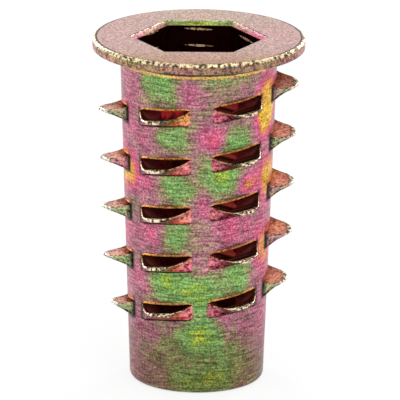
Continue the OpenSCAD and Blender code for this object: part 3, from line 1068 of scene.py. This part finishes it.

    # Painted shade: hollows turn brown and then black, and creases are dark; the socket also has patches of
    # painted red light
    hidden = add(tree, "ShaderNodeAttribute", {"attribute_name": "hidden"}).outputs["Fac"]
    passage = add(tree, math_node, {"operation": "COMPARE"}, {0: sheared, 1: PASSAGE, 2: MARK_HALF})
    passage = add(tree, math_node, {"operation": "MULTIPLY"}, {0: passage, 1: 0.8})
    hidden = add(tree, math_node, {"operation": "MAXIMUM"}, {0: hidden, 1: passage})
    colour = add(tree, "ShaderNodeMix", colour_mix, {0: hidden, 6: colour, 7: linear("#bc5542")})
    inward = add(tree, "ShaderNodeAttribute", {"attribute_name": "inward"}).outputs["Fac"]
    # Painted red light on the bore, strongest high up and more on the right, where light through the slits
    # falls
    bore = add(tree, math_node, {"operation": "MULTIPLY"}, {0: inward, 1: 0.9})
    bore_red_light = add(
        tree,
        "ShaderNodeMapRange",
        None,
        {"Value": mottle, "From Min": 0.32, "From Max": 0.52, "To Min": 0.2, "To Max": 1.4},
    )
    high = add(tree, "ShaderNodeMapRange", None, {"Value": spot["Z"], "From Min": 16.0, "From Max": 19.0})
    right = add(
        tree,
        "ShaderNodeMapRange",
        None,
        {"Value": spot["X"], "From Min": -1.0, "From Max": 0.5, "To Min": 0.25, "To Max": 0.7},
    )
    low = add(
        tree,
        "ShaderNodeMapRange",
        None,
        {"Value": spot["Z"], "From Min": 4.0, "From Max": 10.0, "To Min": 0.3, "To Max": 1.0},
    )
    right = add(tree, math_node, {"operation": "MULTIPLY"}, {0: right, 1: low})
    reach = add(tree, math_node, {"operation": "MAXIMUM"}, {0: high, 1: right})
    bore_red_light = add(tree, math_node, {"operation": "MULTIPLY"}, {0: bore_red_light, 1: reach})
    bore_red_light = add(tree, vector_node, {"operation": "SCALE"}, {0: linear("#e84a50")[:3], "Scale": bore_red_light})
    colour = add(tree, "ShaderNodeMix", colour_mix, {0: bore, 6: colour, 7: bore_red_light})
    # Painted shade lines in the creases and along edges darken the colour
    crease = add(tree, "ShaderNodeAttribute", {"attribute_name": "crease"}).outputs["Fac"]
    darkest = add(tree, "ShaderNodeMapRange", None, {"Value": inward, "To Min": 0.1, "To Max": 0.008})
    deep = add(
        tree,
        "ShaderNodeMapRange",
        None,
        {"Value": hidden, "From Min": 0.5, "From Max": 0.95, "To Min": 1.0, "To Max": darkest},
    )
    shown, full = [
        add(
            tree,
            "ShaderNodeMapRange",
            None,
            {"Value": outward, "From Min": 0.6, "From Max": 0.85, "To Min": ahead, "To Max": beside},
        )
        for ahead, beside in ((0.5, 0.0), (0.8, 0.5))
    ]
    lit = add(
        tree,
        "ShaderNodeMapRange",
        None,
        {"Value": crease, "From Min": shown, "From Max": full, "To Min": 1.0, "To Max": 0.05},
    )
    # Scoops on the near side take more painted shade
    before = add(tree, math_node, {"operation": "SUBTRACT"}, {0: 1.0, 1: behind})
    before = add(tree, math_node, {"operation": "MULTIPLY"}, {0: before, 1: shaded})
    black = add(tree, "ShaderNodeMapRange", None, {"Value": before, "To Min": 1.0, "To Max": 0.4})
    for factor in (deep, black):
        lit = add(tree, math_node, {"operation": "MULTIPLY"}, {0: lit, 1: factor})
    colour = add(tree, vector_node, {"operation": "SCALE"}, {0: colour, "Scale": lit})

    # Marks where the tap ran down the middle of the socket's flats, left out of the painted shade and
    # painted bright, partly as painted glints on their cut edges
    turned = add(tree, math_node, {"operation": "ARCTAN2"}, {0: spot["X"], 1: spot["Y"]})
    thread = add(
        tree,
        math_node,
        {"operation": "MULTIPLY_ADD"},
        {0: turned, 1: 0.5 / math.pi, 2: -TAP_Z / THREAD_PITCH},
    )
    thread = add(
        tree, math_node, {"operation": "MULTIPLY_ADD"}, {0: spot["Z"], 1: 1 / THREAD_PITCH, 2: thread}
    )
    thread = add(tree, math_node, {"operation": "PINGPONG"}, {0: thread, 1: 0.5})
    depth = add(tree, math_node, {"operation": "SUBTRACT"}, {0: TAP_R, 1: radius})
    half_mark = add(
        tree, math_node, {"operation": "MULTIPLY"}, {0: depth, 1: THREAD_FLANK / THREAD_PITCH}
    )
    mark = add(tree, math_node, {"operation": "LESS_THAN"}, {0: thread, 1: half_mark})
    in_socket = add(tree, math_node, {"operation": "GREATER_THAN"}, {0: spot["Z"], 1: NOSE_LENGTH})
    for other in (in_socket, patchy):
        mark = add(tree, math_node, {"operation": "MULTIPLY"}, {0: mark, 1: other})
    colour = add(tree, "ShaderNodeMix", colour_mix, {0: mark, 6: colour, 7: linear("#d2b48a")})

    # Relief of the lines and of the broken edges
    relief = add(tree, math_node, {"operation": "MULTIPLY"}, {0: chips, 1: bared})
    relief = add(tree, math_node, {"operation": "ADD"}, {0: relief, 1: grain})
    bump = add(
        tree, "ShaderNodeBump", None, {"Height": relief, "Strength": 0.35, "Distance": 0.04 * MM}
    )
    gloss = add(tree, math_node, {"operation": "MULTIPLY_ADD"}, {0: mottle, 1: 0.25, 2: 0.25})
    gloss = add(tree, math_node, {"operation": "ADD"}, {0: gloss, 1: hidden})
    dull = add(tree, math_node, {"operation": "MULTIPLY"}, {0: smooth, 1: 0.6})
    for other in (hidden, shaded):
        dull = add(tree, math_node, {"operation": "MAXIMUM"}, {0: dull, 1: other})
    bright = add(tree, math_node, {"operation": "SUBTRACT"}, {0: 1.0, 1: dull})
    shader = add(
        tree,
        "ShaderNodeBsdfPrincipled",
        None,
        {
            "Base Color": colour,
            "Metallic": bright,
            "Roughness": gloss,
            "Specular IOR Level": 0.0,
            "Normal": bump,
        },
    )
    add(tree, "ShaderNodeOutputMaterial", None, {"Surface": shader})
    return material


zinc = yellow_zinc_chromate()
body = turned_insert(zinc)
body.transform(Matrix.Scale(MM, 4))
body.set_sharp_from_angle(angle=SHARP_ANGLE)
insert = bpy.data.objects.new("plated_insert", body)
scene.collection.objects.link(insert)
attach(insert, "root")
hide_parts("insert")

# White floor: what the eye and the metal see of it is white, with a part of the shadow left in
FLOOR_HALF = 3
card = bpy.data.materials.new("white_card")
card.use_nodes = True
card.node_tree.nodes.clear()
paper = add(
    card.node_tree, "ShaderNodeBsdfPrincipled", None, {"Base Color": linear("#fafafa"), "Roughness": 0.9}
)
glow = add(card.node_tree, "ShaderNodeEmission", None, {"Color": linear("#ffffff"), "Strength": 1.0})
ray = add(card.node_tree, "ShaderNodeLightPath").outputs
seen = ray["Is Camera Ray"]
for label in ("Is Glossy Ray", "Is Transmission Ray"):
    seen = add(card.node_tree, "ShaderNodeMath", {"operation": "MAXIMUM"}, {0: seen, 1: ray[label]})
seen = add(card.node_tree, "ShaderNodeMath", {"operation": "MULTIPLY"}, {0: seen, 1: 0.8})
mixed = add(card.node_tree, "ShaderNodeMixShader", None, {0: seen, 1: paper, 2: glow})
add(card.node_tree, "ShaderNodeOutputMaterial", None, {"Surface": mixed})
floor_mesh = bpy.data.meshes.new("floor")
floor_corners = [(FLOOR_HALF * x, FLOOR_HALF * y, 0) for x, y in ((-1, -1), (1, -1), (1, 1), (-1, 1))]
floor_mesh.from_pydata(floor_corners, [], [(0, 1, 2, 3)])
floor_mesh.materials.append(card)
floor = bpy.data.objects.new("floor", floor_mesh)
scene.collection.objects.link(floor)

# Soft white room, a large lamp in front on the right, and a tall strip behind on each side
LAMP_AIM = Vector((0, 0, 0.012))
world = bpy.data.worlds.new("studio")
scene.world = world
world.use_nodes = True
sky = world.node_tree.nodes["Background"]
sky.inputs["Color"].default_value = linear("#ffffff")
sky.inputs["Strength"].default_value = 0.9
for label, power, width, height, spot in (
    ("key", 1.2, 0.5, 0.5, (0.15, -0.45, 0.5)),
    ("left_strip", 0.8, 0.12, 0.4, (-0.27, 0.42, 0.14)),
    ("right_strip", 1.0, 0.12, 0.4, (0.27, 0.42, 0.14)),
):
    lamp = bpy.data.lights.new(label, "AREA")
    lamp.energy = power
    lamp.shape = "RECTANGLE"
    lamp.size = width
    lamp.size_y = height
    fixture = bpy.data.objects.new(label, lamp)
    fixture.location = spot
    fixture.rotation_euler = (LAMP_AIM - fixture.location).to_track_quat("-Z", "Y").to_euler()
    scene.collection.objects.link(fixture)

# Camera at the photograph's angle, in pixels of a square image
IMAGE_PX = 400
SENSOR_WIDTH = 36
RISE = math.radians(16.716)
DISTANCE = 0.516
ROLL = math.radians(0.435)
FOCAL_PX = 7042.2
CENTRE_X, CENTRE_Y = 197.65, 206.0
ahead = Vector((0, math.cos(RISE), -math.sin(RISE)))
upward = Vector((0, math.sin(RISE), math.cos(RISE)))
eye = Vector((0, 0, TOTAL_HEIGHT / 2 * MM)) - DISTANCE * ahead
lens = bpy.data.cameras.new("camera")
lens.sensor_width = SENSOR_WIDTH
lens.lens = FOCAL_PX / IMAGE_PX * SENSOR_WIDTH
lens.shift_x = 0.5 - CENTRE_X / IMAGE_PX
lens.shift_y = CENTRE_Y / IMAGE_PX - 0.5
lens.clip_end = 10
camera = bpy.data.objects.new("camera", lens)
facing = Matrix((Vector((1, 0, 0)), upward, -ahead)).transposed()
camera.matrix_world = Matrix.Translation(eye) @ (facing @ Matrix.Rotation(ROLL, 3, "Z")).to_4x4()
scene.collection.objects.link(camera)
scene.camera = camera
